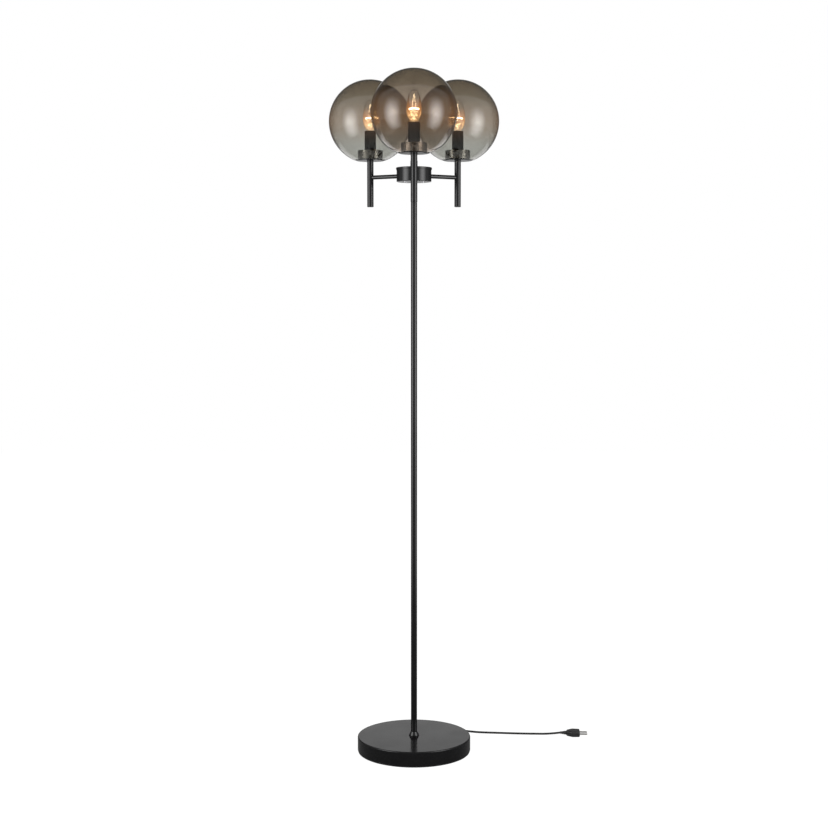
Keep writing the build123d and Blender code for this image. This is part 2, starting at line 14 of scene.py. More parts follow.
import bpy
import numpy as np
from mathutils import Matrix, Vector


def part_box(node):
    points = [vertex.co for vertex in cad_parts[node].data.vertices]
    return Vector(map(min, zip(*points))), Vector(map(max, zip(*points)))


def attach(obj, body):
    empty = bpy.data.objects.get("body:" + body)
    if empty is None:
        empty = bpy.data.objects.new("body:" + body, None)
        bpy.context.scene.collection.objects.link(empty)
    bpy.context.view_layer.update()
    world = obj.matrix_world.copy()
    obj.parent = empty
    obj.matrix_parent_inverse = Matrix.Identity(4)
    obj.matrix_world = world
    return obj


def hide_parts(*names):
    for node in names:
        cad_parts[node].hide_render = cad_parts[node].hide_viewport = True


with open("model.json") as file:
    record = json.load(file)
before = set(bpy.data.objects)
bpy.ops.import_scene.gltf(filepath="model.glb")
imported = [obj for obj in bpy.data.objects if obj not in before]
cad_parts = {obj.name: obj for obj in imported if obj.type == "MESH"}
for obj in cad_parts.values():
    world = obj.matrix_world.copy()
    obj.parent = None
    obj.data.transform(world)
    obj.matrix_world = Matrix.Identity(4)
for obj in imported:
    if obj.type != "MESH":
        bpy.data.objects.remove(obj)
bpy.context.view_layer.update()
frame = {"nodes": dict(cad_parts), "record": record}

MM = 0.001
ARMS = ("front", "right", "left")
SLOT = {part["node"]: part["material_slot"] for part in frame["record"]["subparts"]}
SCENE = bpy.context.scene


def added(name, data):
    """A new object in the scene."""
    made = bpy.data.objects.new(name, data)
    SCENE.collection.objects.link(made)
    return made


# %% [markdown]
# ## Camera
#
# The photograph was taken from about three and a half metres, looking down a little. A camera can
# be placed by eye; this one was fitted to the outlines of foot, hub and globes. The tilt does the
# framing, so the lens needs no shift.

# %% The camera
LENS = 64.5 * MM
SENSOR = 36 * MM
CAMERA_PLACE = (0.0, -3.5703, 1.1115)
CAMERA_TILT = 0.079

lens = bpy.data.cameras.new("camera")
lens.lens = LENS / MM
lens.sensor_width = SENSOR / MM
camera = added("camera", lens)
camera.location = CAMERA_PLACE
camera.rotation_euler = (math.pi / 2 - CAMERA_TILT, 0, 0)
SCENE.camera = camera
print("camera: lens", lens.lens, "mm at", CAMERA_PLACE)

# %% [markdown]
# ## Writing shaders as sums
#
# A finish is a small network of nodes. Wired by hand, one link at a time, its formula is hard to
# see. Here one class wraps a socket, so that `mask * 0.5 + 0.2` adds the Math nodes itself, and
# one method adds every other kind of node.

# %% The class that wraps a socket


class Wire:
    """A socket of a node tree, or the bare tree, that takes part in sums as a number does."""

    def __init__(self, tree, socket=None):
        self.tree = tree
        self.socket = socket

    def node(self, kind, settings=None, inputs=None, output=0):
        """Adds a node. Its settings come first, then a value or a link for each named socket."""
        made = self.tree.nodes.new(kind)
        for name, value in (settings or {}).items():
            setattr(made, name, value)
        for name, value in (inputs or {}).items():
            if isinstance(value, Wire):
                self.tree.links.new(value.socket, made.inputs[name])
            else:
                made.inputs[name].default_value = value
        return Wire(self.tree, made.outputs[output] if len(made.outputs) else None)

    def outputs(self, *names):
        """Wires from several outputs of the node that this wire comes from."""
        return [Wire(self.tree, self.socket.node.outputs[name]) for name in names]

    def math(self, operation, *others):
        """A Math node on this wire, and on the others after it."""
        return self.node(
            "ShaderNodeMath", {"operation": operation}, dict(enumerate((self, *others))))

    def mixed(self, factor, low, high, way="MIX"):
        """A Mix node for colours: socket 0 is its factor, and 6 and 7 are its two colours."""
        return self.node("ShaderNodeMix", {"data_type": "RGBA", "blend_type": way},
                         {0: factor, 6: low, 7: high}, output=2)

    def colour(self, low, high):
        """The colour low where this wire is 0, high where it is 1, and their mix between."""
        return self.mixed(self, low, high)

    def plus(self, other):
        """The sum of two colours."""
        return self.mixed(1.0, self, other, "ADD")

    def near(self, middle, reach):
        """1 at the middle, 0 a reach away and beyond, and a smooth S-curve between."""
        return 1 - ((self - middle) / reach).math("ABSOLUTE").between(0.0, 1.0)

    def between(self, low, high):
        """0 below low, 1 above high and a smooth S-curve between."""
        return self.node(
            "ShaderNodeMapRange", {"interpolation_type": "SMOOTHSTEP"},
            {"Value": self, "From Min": low, "From Max": high})

    def __rsub__(self, other):
        return self.math("MULTIPLY_ADD", -1.0, other)

    __add__ = __radd__ = partialmethod(math, "ADD")
    __mul__ = __rmul__ = partialmethod(math, "MULTIPLY")
    __sub__ = partialmethod(math, "SUBTRACT")
    __truediv__ = partialmethod(math, "DIVIDE")
    __pow__ = partialmethod(math, "POWER")


# %% [markdown]
# ## Finishes
#
# Each finish is a function that returns a material. What changes over a surface is read from
# object coordinates, so a pattern moves with its piece, and feeds only colour, roughness or bump.

# %% Helpers for finishes


def grey(level):
    """A colour without a hue."""
    return (level, level, level, 1)


def sheet_in(holder):
    """The node tree of a material, a world or a light, emptied, as a wire."""
    holder.use_nodes = True
    holder.node_tree.nodes.clear()
    return Wire(holder.node_tree)


def sheet_of(name):
    """A new material and its empty node tree."""
    made = bpy.data.materials.new(name)
    return made, sheet_in(made)


def finished(made, sheet, surface, volume=None):
    """The material, with its surface and any volume joined to its output. However brightly a
    finish glows, it isn't counted as a lamp."""
    joined = {"Surface": surface, "Volume": volume} if volume else {"Surface": surface}
    sheet.node("ShaderNodeOutputMaterial", inputs=joined)
    made.cycles.emission_sampling = "NONE"
    return made


def place_on(sheet):
    """Where a point lies on its object, as a vector."""
    return sheet.node("ShaderNodeTexCoord", output="Object")


def noise(sheet, grains_per_metre, detail=2.0, stretch=None):
    """Cloudy noise from 0 to 1, so many grains to the metre, drawn out by stretch."""
    place = place_on(sheet)
    if stretch:
        place = sheet.node(
            "ShaderNodeVectorMath", {"operation": "MULTIPLY"}, {0: place, 1: stretch})
    return sheet.node(
        "ShaderNodeTexNoise", inputs={"Vector": place, "Scale": grains_per_metre, "Detail": detail})


def bumped(sheet, height, depth):
    """A surface normal tilted by a height pattern, whose full range is depth metres."""
    return sheet.node(
        "ShaderNodeBump", inputs={"Height": height, "Distance": depth, "Strength": 1.0})


def axis_part(sheet, axis):
    """One coordinate of the point on its object."""
    return sheet.node("ShaderNodeSeparateXYZ", inputs={"Vector": place_on(sheet)}, output=axis)


# %% [markdown]
# The lamp's metal is sprayed black with a satin gloss. A plain dark colour looks like plastic,
# because sprayed lacquer has a fine orange peel and a gloss that varies. So the roughness drifts
# in wide clouds, and a fine noise tilts the surface by about a hundredth of a millimetre.

# %% Black metal


def grained(name, dark, light, gloss, drift, clouds, grains, depth, detail=2.0, others=None):
    """A surface whose colour and gloss drift in wide clouds, under a fine grain that tilts it.

    The roughness is gloss + drift * cloud. Clouds and grains are so many to the metre."""
    made, sheet = sheet_of(name)
    cloud = noise(sheet, clouds)
    surface = sheet.node("ShaderNodeBsdfPrincipled", inputs={
        "Base Color": cloud.colour((*dark, 1), (*light, 1)),
        "Roughness": gloss + drift * cloud,
        "Normal": bumped(sheet, noise(sheet, grains, detail), depth),
        **(others or {}),
    })
    return finished(made, sheet, surface)


def black_metal():
    """Satin black lacquer on steel."""
    return grained(
        "black_metal", (0.0035, 0.0035, 0.0037), (0.0060, 0.0060, 0.0063), 0.15, 0.07,
        clouds=18, grains=900, depth=0.012 * MM, detail=1.0, others={"Specular IOR Level": 0.32})


# %% [markdown]
# The cups that hold the globes are polished and dark, like black nickel. Turned metal keeps fine
# rings from the wheel, so the noise changes fast with height and slowly round the cup.

# %% Dark nickel


def dark_nickel():
    """Polished black nickel with faint level rings."""
    made, sheet = sheet_of("dark_nickel")
    rings = noise(sheet, 60, stretch=(1, 1, 40))
    surface = sheet.node("ShaderNodeBsdfPrincipled", inputs={
        "Base Color": rings.colour((0.14, 0.13, 0.12, 1), (0.20, 0.185, 0.17, 1)),
        "Metallic": 1.0,
        "Roughness": 0.18 + 0.08 * rings,
        "Normal": bumped(sheet, rings, 0.004 * MM),
    })
    return finished(made, sheet, surface)


# %% [markdown]
# The globes are blown smoked glass, brown above and grey-green below. Glass could be tinted by
# its depth alone, but here most of the colour is the shader's and follows the height; that
# gradient is partly the smoke's own tint and partly painted reflection, paler towards the bottom.
# The front globe is painted a little browner, and each globe gives off a faint painted warm glow at
# its bulb's height: both are painted light standing for the bulbs' light in the glass. A shadow
# ray meets a clear tint instead, because lamps that shine through glass are hard for a path tracer.

# %% Smoked glass
# Where the front globe's painted browner tint, standing for warm bulb light, starts and blends in.
PAINTED_WARM_FRONT_STARTS = 20 * MM
PAINTED_WARM_FRONT_BLEND = 30 * MM
# Height and reach of the painted warm glow that stands for bulb light in the glass.
PAINTED_GLOW_HEIGHT = 1533 * MM
PAINTED_GLOW_REACH = 65 * MM


def glass_of(sheet, tint, inputs):
    """Smooth glass for every ray but a shadow ray, which passes straight on through the tint."""
    glass = sheet.node("ShaderNodeBsdfPrincipled", inputs={
        "Roughness": 0.0, "Transmission Weight": 1.0, **inputs})
    clear = sheet.node("ShaderNodeBsdfTransparent", inputs={"Color": tint})
    shadow = sheet.node("ShaderNodeLightPath", output="Is Shadow Ray")
    return sheet.node("ShaderNodeMixShader", inputs={0: shadow, 1: glass, 2: clear})


def smoked_glass():
    """Smoky glass, paler downwards partly as painted reflection, with a painted warm glow at the
    bulb's height and a painted browner tint from warm light in the front globe.
    """
    made, sheet = sheet_of("smoked_glass")
    seat, top = (corner.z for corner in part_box("globe_front"))
    height = axis_part(sheet, "Z")
    # Darker brown above, paler grey-green below: partly the smoke's tint, partly painted
    # reflection.
    share = (height - seat) / (top - seat) + 0.06 * noise(sheet, 9)
    # Painted warm light: the front globe's colours are a little browner, as if lit by the bulbs.
    front = (-PAINTED_WARM_FRONT_STARTS - axis_part(sheet, "Y")).between(0.0, PAINTED_WARM_FRONT_BLEND)
    low = front.colour((0.78, 0.80, 0.79, 1), (0.84, 0.78, 0.73, 1))
    middle = front.colour((0.585, 0.58, 0.555, 1), (0.575, 0.535, 0.495, 1))
    lower = share.between(0.05, 0.60).colour(low, middle)
    tint = share.between(0.55, 1.0).colour(lower, (0.46, 0.41, 0.34, 1))
    # Painted glow: the glass gives off faint warm light at the bulb's height.
    painted_bulb_glow = height.near(PAINTED_GLOW_HEIGHT, PAINTED_GLOW_REACH).colour(grey(0), (0.030, 0.013, 0.003, 1))
    glass = glass_of(sheet, (0.66, 0.64, 0.61, 1), {
        "Base Color": tint, "IOR": 1.5, "Specular IOR Level": 0.7,
        "Emission Color": painted_bulb_glow, "Emission Strength": 1.0})
    smoke = sheet.node("ShaderNodeVolumeAbsorption", inputs={
        "Color": (0.53, 0.50, 0.43, 1), "Density": 178.0})
    return finished(made, sheet, glass, smoke)


# %% [markdown]
# A bulb's envelope is thin clear glass. Round the filament it gives off a painted faint orange glow
# that stands for light bouncing about inside, so the colour it gives off follows the distance from
# there, and its lower part carries painted sparks of light.

# %% Clear glass
# Height and reach of the painted warm glow round the filament.
PAINTED_BODY_GLOW = (1538 * MM, 32 * MM)
# Height and reach of the painted sparks of light in the bulb's lower part.
PAINTED_BOWL_GLOW = (1524 * MM, 22 * MM)


def clear_glass():
    """Thin clear glass that gives off a painted warm glow at the filament and painted sparks of
    light in its lower part.
    """
    made, sheet = sheet_of("clear_glass")
    height = axis_part(sheet, "Z")
    # Painted sparks: bright specks of filament light in the glass's lower part.
    painted_glints = noise(sheet, 280, detail=3.0).between(0.58, 0.66)
    # Painted glow round the filament, standing for light bouncing about inside the bulb.
    body = height.near(*PAINTED_BODY_GLOW).colour(grey(0), (0.060, 0.020, 0.002, 1))
    painted_low_sparks = height.near(*PAINTED_BOWL_GLOW) * (0.02 + 0.98 * painted_glints)
    glass = glass_of(sheet, (0.95, 0.94, 0.92, 1), {
        "Base Color": (0.97, 0.96, 0.94, 1), "IOR": 1.47,
        "Emission Color": body.plus(painted_low_sparks.colour(grey(0), (0.90, 0.58, 0.26, 1))),
        "Emission Strength": 2.5})
    return finished(made, sheet, glass)


# %% [markdown]
# A lit filament is far brighter than white: a camera shows its core as white and its rim as
# yellow. Its strength still leaves a colour in the glass round it.

# %% Filament


def filament():
    """A white-hot coil."""
    made, sheet = sheet_of("filament")
    flicker = noise(sheet, 700)
    surface = sheet.node("ShaderNodeBsdfPrincipled", inputs={
        "Base Color": (0.05, 0.05, 0.05, 1),
        "Roughness": 0.6,
        "Emission Color": flicker.colour((1.0, 0.70, 0.38, 1), (1.0, 0.84, 0.58, 1)),
        "Emission Strength": 220.0,
    })
    return finished(made, sheet, surface)


# %% [markdown]
# The rest are quieter, and differ only in colour, gloss and grain. So each is a row of a table:
# dark and light colour, roughness, grains to the metre and their height.

# %% Plastics, rubbers and bare metals
RIB_PITCH = 0.9 * MM
MOULDED = {
    "black_plastic": ((0.010,) * 3, (0.016,) * 3, 0.38, 2200, 0.015 * MM),
    "black_rubber": ((0.008,) * 3, (0.014,) * 3, 0.48, 1500, 0.02 * MM),
    "white_plastic": ((0.66, 0.65, 0.61), (0.74, 0.73, 0.70), 0.40, 2200, 0.01 * MM),
}
BARE = {
    "cast_iron": ((0.07, 0.065, 0.06), (0.13, 0.12, 0.11), 0.60, 500, 0.15 * MM),
    "zinc_steel": ((0.50, 0.50, 0.52), (0.64, 0.64, 0.66), 0.30, 900, 0.01 * MM),
    "brass": ((0.62, 0.44, 0.18), (0.74, 0.55, 0.26), 0.26, 900, 0.01 * MM),
    "nickel": ((0.56, 0.54, 0.50), (0.68, 0.66, 0.62), 0.22, 900, 0.008 * MM),
}


def woven_tape():
    """The coil's tie: a ribbed tape, whose ribs cross it at an even pitch."""
    made, sheet = sheet_of("tie_fabric")
    ribs = (axis_part(sheet, "X") * (2 * math.pi / RIB_PITCH)).math("SINE")
    surface = sheet.node("ShaderNodeBsdfPrincipled", inputs={
        "Base Color": (0.5 + 0.5 * ribs).colour(
            (0.010, 0.010, 0.011, 1), (0.030, 0.030, 0.032, 1)),
        "Roughness": 0.85,
        "Sheen Weight": 0.3,
        "Normal": bumped(sheet, ribs, 0.08 * MM),
    })
    return finished(made, sheet, surface)


FINISH = {
    "black_metal": black_metal(),
    "dark_nickel": dark_nickel(),
    "smoked_glass": smoked_glass(),
    "clear_glass": clear_glass(),
    "filament": filament(),
    "tie_fabric": woven_tape(),
}
for name, (dark, light, gloss, grains, depth) in MOULDED.items():
    FINISH[name] = grained(name, dark, light, gloss, 0.10, 40, grains, depth, detail=1.0,
                           others={"Specular IOR Level": 0.4})
for name, (dark, light, gloss, grains, depth) in BARE.items():
    FINISH[name] = grained(name, dark, light, gloss, 0.12, 120, grains, depth,
                           others={"Metallic": 1.0})
print("finishes:", ", ".join(FINISH))

# %% [markdown]
# ## From an outline to a surface
#
# Most of the lamp is turned: an outline of radius and height, carried round an axis. A modifier
# could spin it, but a grid of points worked out at once also gives the exact normals, so a broad
# flat face meets its small rounded edge without a smudge of shading.

# %% Rounded outlines
SHARPEST = 0.06 * MM
HIDDEN = 0.1 * MM
CRISP = 0.2 * MM
HAIR_EDGE = 0.3 * MM
BROKEN = 0.4 * MM
SOFT = 0.6 * MM


def unit(vectors):
    """Each vector divided by its length."""
    return vectors / np.linalg.norm(vectors, axis=-1, keepdims=True)


def rounded(corners, radii=0.0, closed=True, steps=6):
    """Rounds the corners of an outline. Returns its points and their outward normals.

    At a corner with half angle h between its sides, an arc of radius r touches both sides at
    r / tan(h) from the corner, and its centre is r / sin(h) away along the bisector. A point of
    the arc is centre + r * direction, as the direction turns evenly from one side's to the
    other's. Where an anticlockwise outline turns clockwise the normal is the direction reversed."""
    corner = np.array(corners, float)
    to_before = unit(np.roll(corner, 1, axis=0) - corner)
    to_after = unit(np.roll(corner, -1, axis=0) - corner)
    half = np.arccos(np.clip((to_before * to_after).sum(1), -1, 1))[:, None] / 2
    radius = np.maximum(np.broadcast_to(radii, len(corner)), SHARPEST)[:, None]
    centre = corner + unit(to_before + to_after) * radius / np.sin(half)
    first = (corner + to_before * radius / np.tan(half) - centre) / radius
    last = (corner + to_after * radius / np.tan(half) - centre) / radius
    turn = math.pi - 2 * half
    share = np.linspace(0, 1, steps + 1)
    early = (np.sin((1 - share) * turn) / np.sin(turn))[..., None]
    late = (np.sin(share * turn) / np.sin(turn))[..., None]
    direction = early * first[:, None] + late * last[:, None]
    points = centre[:, None] + radius[..., None] * direction
    side = -to_before[:, 0] * to_after[:, 1] + to_before[:, 1] * to_after[:, 0]
    normals = direction * np.sign(side)[:, None, None]
    if closed:
        return points.reshape(-1, 2), normals.reshape(-1, 2)
    points = np.concatenate([corner[:1], points[1:-1].reshape(-1, 2), corner[-1:]])
    normals = normals[1:-1].reshape(-1, 2)
    return points, np.concatenate([normals[:1], normals, normals[-1:]])


def circle(steps=96):
    """A ring of no size: its points are the centre, its normals the directions round a turn."""
    turn = np.linspace(0, 2 * math.pi, steps, endpoint=False)
    directions = np.stack([np.cos(turn), np.sin(turn)], axis=1)
    return np.zeros_like(directions), directions


def carry(outline, ring=None, closed=True):
    """Carries an outline round a ring. Returns a grid of points and a grid of normals.

    A point is the ring's point + the ring's normal * the outline's first value, at the height of
    its second value. An outline that isn't closed starts and ends on the axis."""
    points, normals = outline
    places, directions = ring or circle()
    flat = places[None] + directions[None] * points[:, :1, None]
    if not closed:
        flat[[0, -1]] = 0
    heights = np.broadcast_to(points[:, 1:, None], (len(points), len(places), 1))
    leans = np.broadcast_to(normals[:, 1:, None], heights.shape)
    outward = directions[None] * normals[:, :1, None]
    points = np.concatenate([flat, heights], axis=2)
    return points, np.concatenate([outward, leans], axis=2), closed


def outline_of(corners, closed=True, steps=6):
    """The outline through corners that each give two coordinates and the rounding there."""
    corners = np.array(corners, float)
    return rounded(corners[:, :2], corners[:, 2], closed, steps)


def turned(corners, ring=None, closed=True, steps=6):
    """A form whose outline has corners of radius, height and rounding, carried round a ring."""
    return carry(outline_of(corners, closed, steps), ring, closed)


def moved(sheet, place=(0, 0, 0), axes=None):
    """A grid turned so that its x, y and z run along the three axes, then moved to a place."""
    points, normals, closed = sheet
    turn = np.eye(3) if axes is None else np.array(axes, float)
    return points @ turn + np.array(place), normals @ turn, closed


# %% [markdown]
# A grid becomes a mesh by numbering its points. Each cell is a face of four. A row that falls on
# one point, such as the middle of a lid, counts as that point, and its cells are faces of three.

# %% From grids to a piece


def cells(points, closed):
    """The faces of a grid, as an array of fours and an array of threes."""
    rows, columns = points.shape[:2]
    number = np.arange(rows * columns).reshape(rows, columns)
    pole = np.ptp(points, axis=1).max(axis=1) < 1e-7
    number[pole] = number[pole][:, :1]
    this = number if closed else number[:-1]
    following = np.roll(number, -1, axis=0) if closed else number[1:]
    around = [this, np.roll(this, -1, axis=1), np.roll(following, -1, axis=1), following]
    fours = np.stack(around, axis=-1).reshape(-1, 4)
    starts_on_pole = fours[:, 0] == fours[:, 1]
    ends_on_pole = fours[:, 2] == fours[:, 3]
    threes = np.concatenate([fours[starts_on_pole][:, [0, 2, 3]], fours[ends_on_pole][:, :3]])
    return fours[~(starts_on_pole | ends_on_pole)], threes


def mesh_of(name, sheets):
    """One mesh of several grids, with a normal for each point."""
    spots, leans, faces = [], [], []
    count = 0
    for points, normals, closed in sheets:
        fours, threes = cells(points, closed)
        used = np.unique(np.concatenate([fours.ravel(), threes.ravel()]))
        spots.append(points.reshape(-1, 3)[used])
        leans.append(normals.reshape(-1, 3)[used])
        for group in (fours, threes):
            faces += (np.searchsorted(used, group) + count).tolist()
        count += len(used)
    mesh = bpy.data.meshes.new(name)
    mesh.from_pydata(np.concatenate(spots).tolist(), [], faces)
    mesh.shade_smooth()
    mesh.normals_split_custom_set_from_vertices(unit(np.concatenate(leans)).tolist())
    return mesh


def piece(name, sheets, *nodes, body="stand", slot=None):
    """A new piece of the lamp. It stands for its nodes, takes their finish, and rides on a body."""
    slot = slot or SLOT[nodes[0]]
    made = added(name, mesh_of(name, sheets))
    made.data.materials.append(FINISH[slot])
    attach(made, body)
    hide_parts(*nodes)
    print(f"{name}: {len(made.data.polygons)} faces")
    return made


# %% [markdown]
# ## The foot
#
# The foot is a pressed steel cover over an iron weight. Its side curls in under the foot, above a
# thin pad. A bevelled cylinder would have no inside, so the outline goes round the sheet's real
# thickness.

# %% Foot
COVER_WALL = 1.6 * MM
COVER_TOP_ROUND = 2.5 * MM
COVER_FOOT_ROUND = 1.6 * MM
COVER_LIP = 4 * MM
THREAD_RADIUS = 5 * MM
FINE = circle(192)

cover_low, cover_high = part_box("base_cover")
foot_radius = cover_high.x
foot_edge = cover_low.z
foot_top = cover_high.z
inside_radius = foot_radius - COVER_WALL
cover = turned([
    (THREAD_RADIUS, foot_top, 0),
    (THREAD_RADIUS, foot_top - COVER_WALL, 0),
    (inside_radius, foot_top - COVER_WALL, COVER_TOP_ROUND - COVER_WALL),
    (inside_radius, foot_edge + COVER_WALL, BROKEN),
    (foot_radius - COVER_LIP, foot_edge + COVER_WALL, 0),
    (foot_radius - COVER_LIP, foot_edge, 0),
    (foot_radius, foot_edge, COVER_FOOT_ROUND),
    (foot_radius, foot_top, COVER_TOP_ROUND),
], FINE, steps=8)
piece("foot_cover", [cover], "base_cover")

low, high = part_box("base_pad")
pad = turned([(0, low.z, 0), (high.x, low.z, SOFT), (high.x, high.z, SOFT), (0, high.z, 0)],
             FINE, closed=False)
piece("foot_pad", [pad], "base_pad")

# %% [markdown]
# ## The pole and its cone
#
# The pole comes in three threaded lengths, and a cone hides its foot. Each length is a tube with
# finely broken ends, so the seams between them catch a hairline of light.

# %% Pole
TUBE_WALL = 1.2 * MM
SEAM_BREAK = 0.25 * MM
CONE_STEP = 2 * MM
CONE_LIP = 0.6 * MM


def tube(outer, low, high, edge=SEAM_BREAK):
    """A tube between two heights: the cut through one side of its wall, carried round."""
    inner = outer - TUBE_WALL
    wall = [(inner, low, edge), (outer, low, edge), (outer, high, edge), (inner, high, edge)]
    return turned(wall, steps=4)


pole_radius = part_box("pole_lower")[1].x
for length in ("lower", "middle", "upper"):
    low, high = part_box(f"pole_{length}")
    piece(f"pole_tube_{length}", [tube(pole_radius, low.z, high.z)], f"pole_{length}")

low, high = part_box("pole_collar")
cone = turned([
    (THREAD_RADIUS, low.z, 0),
    (high.x, low.z, CRISP),
    (high.x, low.z + CONE_STEP, 0.8 * MM),
    (pole_radius + CONE_LIP, high.z, BROKEN),
    (THREAD_RADIUS, high.z, 0),
])
piece("pole_cone", [cone], "pole_collar")

# %% [markdown]
# ## The hub
#
# A drum with a floor carries the three arms, and a lid with a short skirt sits over its wall,
# held by a plain round cap nut. The step between lid and drum shows in the photograph, so the two
# are separate pieces that touch where they overlap.

# %% Hub
HUB_WALL = 1.5 * MM
HUB_FLOOR = 2 * MM
LID_THICKNESS = 1.4 * MM
LID_SKIRT = 5 * MM
LID_BORE = 4 * MM
NUT_BORE = 11 * MM

low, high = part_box("hub_body")
lid_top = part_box("hub_lid")[1]
drum_radius = high.x
drum = turned([
    (THREAD_RADIUS, low.z, 0),
    (drum_radius, low.z, 1.4 * MM),
    (drum_radius, high.z, HAIR_EDGE),
    (drum_radius - HUB_WALL, high.z, HAIR_EDGE),
    (drum_radius - HUB_WALL, low.z + HUB_FLOOR, SOFT),
    (THREAD_RADIUS, low.z + HUB_FLOOR, 0),
], FINE)
piece("hub_drum", [drum], "hub_body")

lid = turned([
    (LID_BORE, lid_top.z - LID_THICKNESS, 0),
    (drum_radius, lid_top.z - LID_THICKNESS, 0),
    (drum_radius, lid_top.z - LID_SKIRT, CRISP),
    (lid_top.x, lid_top.z - LID_SKIRT, BROKEN),
    (lid_top.x, lid_top.z, 1.1 * MM),
    (LID_BORE, lid_top.z, 0),
], FINE)
piece("hub_cap", [lid], "hub_lid")

low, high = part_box("hub_finial")
cap_nut = turned([
    (0, low.z + NUT_BORE, 0),
    (LID_BORE, low.z + NUT_BORE, 0),
    (LID_BORE, low.z, CRISP),
    (high.x, low.z, 0.5 * MM),
    (high.x, high.z, 1.6 * MM),
    (0, high.z, 0),
], closed=False)
piece("hub_cap_nut", [cap_nut], "hub_finial")

# %% [markdown]
# ## Arms and uprights
#
# Each arm is a level tube into the side of an upright. A turned piece stands on the origin, so a
# level one is the same grid laid down. The places are read from the frame: an upright's box gives
# its axis, and the axis gives the arm's direction.

# %% Arms
CAP_PLUG = 7 * MM
UPRIGHT_BREAK = 0.15 * MM
ARM_INTO_UPRIGHT = 0.4 * MM


def span(node):
    """The middle of a node's box, and half the box's size each way."""
    low, high = (np.array(corner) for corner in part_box(node))
    return (low + high) / 2, (high - low) / 2


UPRIGHT = {name: span(f"stem_{name}")[0] * (1, 1, 0) for name in ARMS}
reach = np.linalg.norm(UPRIGHT["front"])
stem_radius = span("stem_front")[1][0]
arm_middle, arm_half = span("arm_tube_front")
arm_start = -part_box("arm_tube_front")[1].y

for name in ARMS:
    low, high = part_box(f"stem_{name}")
    wall = tube(stem_radius, low.z, high.z, UPRIGHT_BREAK)
    piece(f"upright_{name}", [moved(wall, UPRIGHT[name])], f"stem_{name}")
    along = unit(UPRIGHT[name])
    level = tube(arm_half[2], arm_start, reach - stem_radius + ARM_INTO_UPRIGHT)
    laid = moved(level, (0, 0, arm_middle[2]), [np.cross((0, 0, 1), along), (0, 0, 1), along])
    piece(f"arm_{name}", [laid], f"arm_tube_{name}")

cap_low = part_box("stem_caps")[0].z
stem_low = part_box("stem_front")[0].z
plug_radius = stem_radius - TUBE_WALL
stopper = turned([
    (0, cap_low, 0),
    (stem_radius, cap_low, 1.2 * MM),
    (stem_radius, stem_low, UPRIGHT_BREAK),
    (plug_radius, stem_low, HIDDEN),
    (plug_radius, stem_low + CAP_PLUG, SOFT),
    (0, stem_low + CAP_PLUG, 0),
], closed=False)
piece("upright_ends", [moved(stopper, UPRIGHT[name]) for name in ARMS], "stem_caps")

# %% [markdown]
# ## What carries a globe
#
# A thin disc on top of each upright carries the globe's rim, and a polished cup inside the rim
# keeps it in the middle. In the cup stands a small black lampholder.

# %% Discs, cups and lampholders
CUP_WALL = 1.2 * MM
CUP_ROUND = 4.5 * MM
CUP_RIM = 0.5 * MM
HOLDER_FOOT = 3.2 * MM
HOLDER_SHOULDER = 6 * MM
HOLDER_MOUTH = 2.9 * MM
HOLDER_DEPTH = 38.2 * MM

for name in ARMS:
    low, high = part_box(f"support_disc_{name}")
    wide = (high.x - low.x) / 2
    disc = turned([(THREAD_RADIUS, low.z, 0), (wide, low.z, 0.5 * MM), (wide, high.z, BROKEN),
                   (THREAD_RADIUS, high.z, 0)])
    piece(f"rest_{name}", [moved(disc, UPRIGHT[name])], f"support_disc_{name}")

    low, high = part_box(f"gallery_cup_{name}")
    wide = (high.x - low.x) / 2
    cup = turned([
        (THREAD_RADIUS, low.z, 0),
        (wide, low.z, CUP_ROUND),
        (wide, high.z, CUP_RIM),
        (wide - CUP_WALL, high.z, CUP_RIM),
        (wide - CUP_WALL, low.z + CUP_WALL, CUP_ROUND - CUP_WALL),
        (THREAD_RADIUS, low.z + CUP_WALL, 0),
    ], steps=10)
    piece(f"cup_{name}", [moved(cup, UPRIGHT[name])], f"gallery_cup_{name}")

    low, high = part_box(f"lampholder_{name}")
    wide = (high.x - low.x) / 2
    outline, normals = outline_of([
        (0, high.z - HOLDER_DEPTH, 0),
        (wide - HOLDER_MOUTH, high.z - HOLDER_DEPTH, 0.5 * MM),
        (wide - HOLDER_MOUTH, high.z, BROKEN),
        (wide, high.z, 0.8 * MM),
        (wide, low.z + HOLDER_SHOULDER, 3 * MM),
        (wide - HOLDER_FOOT, low.z, 1.2 * MM),
        (0, low.z, 0),
    ], closed=False)
    holder = carry((outline[::-1], normals[::-1]), closed=False)
    piece(f"socket_{name}", [moved(holder, UPRIGHT[name])], f"lampholder_{name}")

# %% [markdown]
# ## Candle bulbs
#
# A candle bulb swells from a narrow neck and closes in a blunt tip. Its outline is a smooth curve
# through a few shares of its radius, and its inside is that curve moved in by the thickness of
# the glass. Inside stand a flared glass mount, two wires and a coil.

# %% The envelope
BULB_WALL = 0.8 * MM
BULB_NECK = 1501 * MM
BULB_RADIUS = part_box("bulb_glass_front")[1].x
BULB_SHAPE = [
    (0.36, 0.0), (0.36, 6.0), (0.47, 11.0), (0.74, 19.0), (0.95, 28.5), (1.0, 38.0),
    (0.985, 46.0), (0.93, 56.0), (0.82, 66.0), (0.64, 74.5), (0.36, 81.5), (0.0, 84.0),
]


